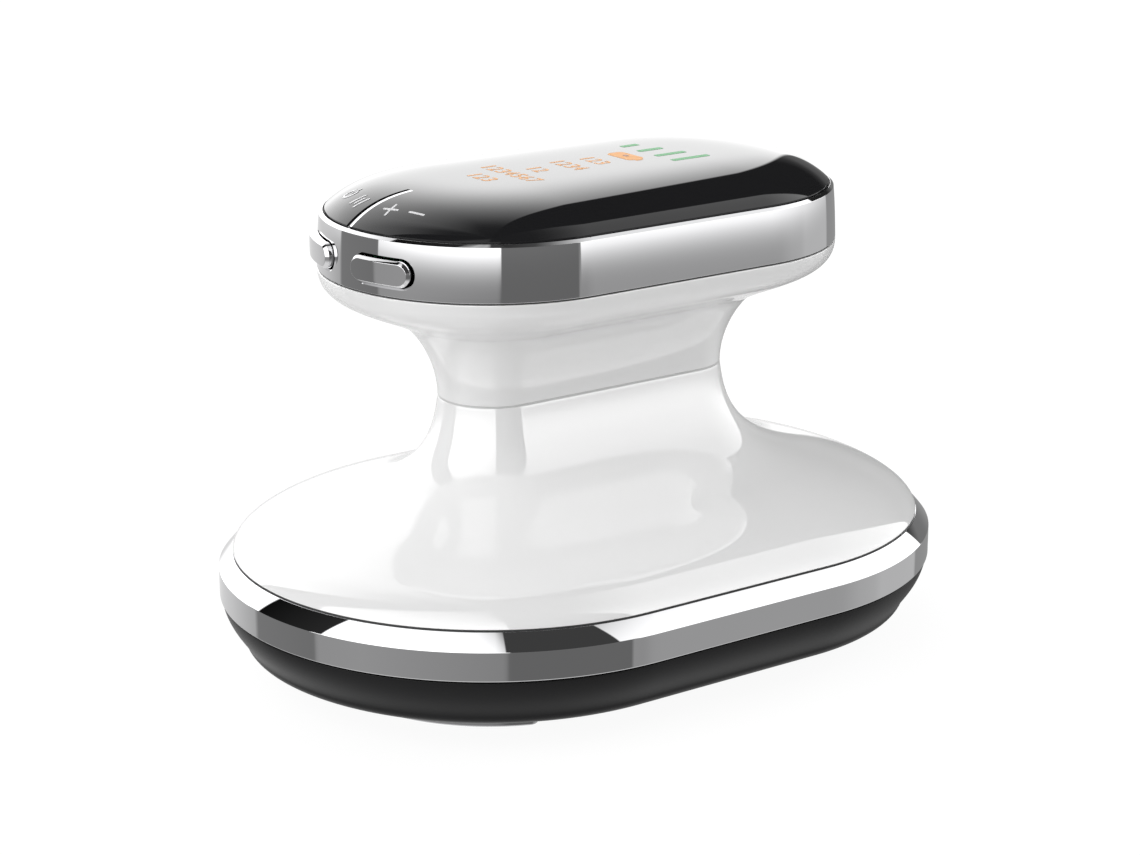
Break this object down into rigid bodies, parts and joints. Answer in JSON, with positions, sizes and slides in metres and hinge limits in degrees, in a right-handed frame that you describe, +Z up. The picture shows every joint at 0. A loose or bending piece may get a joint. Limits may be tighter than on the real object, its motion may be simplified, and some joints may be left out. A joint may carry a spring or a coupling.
{
  "type": "rf slimming device",
  "caption": "Hand-held radio-frequency body care device: an oval base with metal plates underneath, a waisted grip and a domed display panel with rocker keys.",
  "frame": {"origin": "on the surface that the device stands on, under the middle of the centre plate", "axes": "+Z up, +X along the long side from the keys' end to the socket's end, +Y across"},
  "size_m": [0.1266, 0.0906, 0.083],
  "materials": {
    "black_plastic": "satin moulded black plastic",
    "white_gloss": "high-gloss white plastic",
    "chrome": "mirror chrome plating on plastic",
    "steel": "polished stainless steel",
    "black_glass": "gloss smoked black panel with lit legends",
    "clear_plastic": "frosted clear plastic",
    "circuit_board": "green solder mask",
    "ceramic": "sintered piezo ceramic",
    "ferrite": "ferrite core with taped winding",
    "copper": "enamelled copper wire",
    "foil": "laminated battery foil",
    "grey_plastic": "moulded grey plastic",
    "cable_skin": "soft cable sheath"
  },
  "bodies": {
    "housing": {"base_shell": "black_plastic", "base_trim_ring": "chrome", "lower_body": "white_gloss", "upper_body": "white_gloss", "top_trim_ring": "chrome", "top_panel": "black_glass", "electrode_left": "steel", "electrode_right": "steel", "centre_plate": "steel", "power_mode_pin": "steel", "level_pin": "steel", "key_carrier": "black_plastic", "power_switch": "grey_plastic", "mode_switch": "grey_plastic", "plus_switch": "grey_plastic", "minus_switch": "grey_plastic", "light_window_left": "clear_plastic", "light_window_right": "clear_plastic", "light_strip_left": "circuit_board", "light_strip_right": "circuit_board", "piezo_disc": "ceramic", "driver_board": "circuit_board", "rf_transformer": "ferrite", "rf_coil": "copper", "contact_pin_left": "steel", "contact_pin_right": "steel", "base_screw_1": "steel", "base_screw_2": "steel", "base_screw_3": "steel", "base_screw_4": "steel", "neck_screw_1": "steel", "neck_screw_2": "steel", "wire_harness": "cable_skin", "inner_frame": "grey_plastic", "battery": "foil", "main_board": "circuit_board", "display_diffuser": "clear_plastic", "buzzer": "black_plastic", "board_screw_1": "steel", "board_screw_2": "steel", "board_screw_3": "steel", "board_screw_4": "steel", "charging_socket": "steel"},
    "power_mode_rocker": {"power_mode_key": "chrome"},
    "level_rocker": {"level_key": "chrome"}
  },
  "joints": [
    {"name": "power_mode_rock", "type": "hinge", "parent": "housing", "child": "power_mode_rocker", "pos_m": [-0.041, 0.00769, 0.07295], "axis": [0, 0, 1], "range_deg": [-3.5, 3.5], "stiffness_Nm_per_rad": 0.1},
    {"name": "level_rock", "type": "hinge", "parent": "housing", "child": "level_rocker", "pos_m": [-0.041, -0.00769, 0.07295], "axis": [0, 0, 1], "range_deg": [-3.5, 3.5], "stiffness_Nm_per_rad": 0.1}
  ]
}
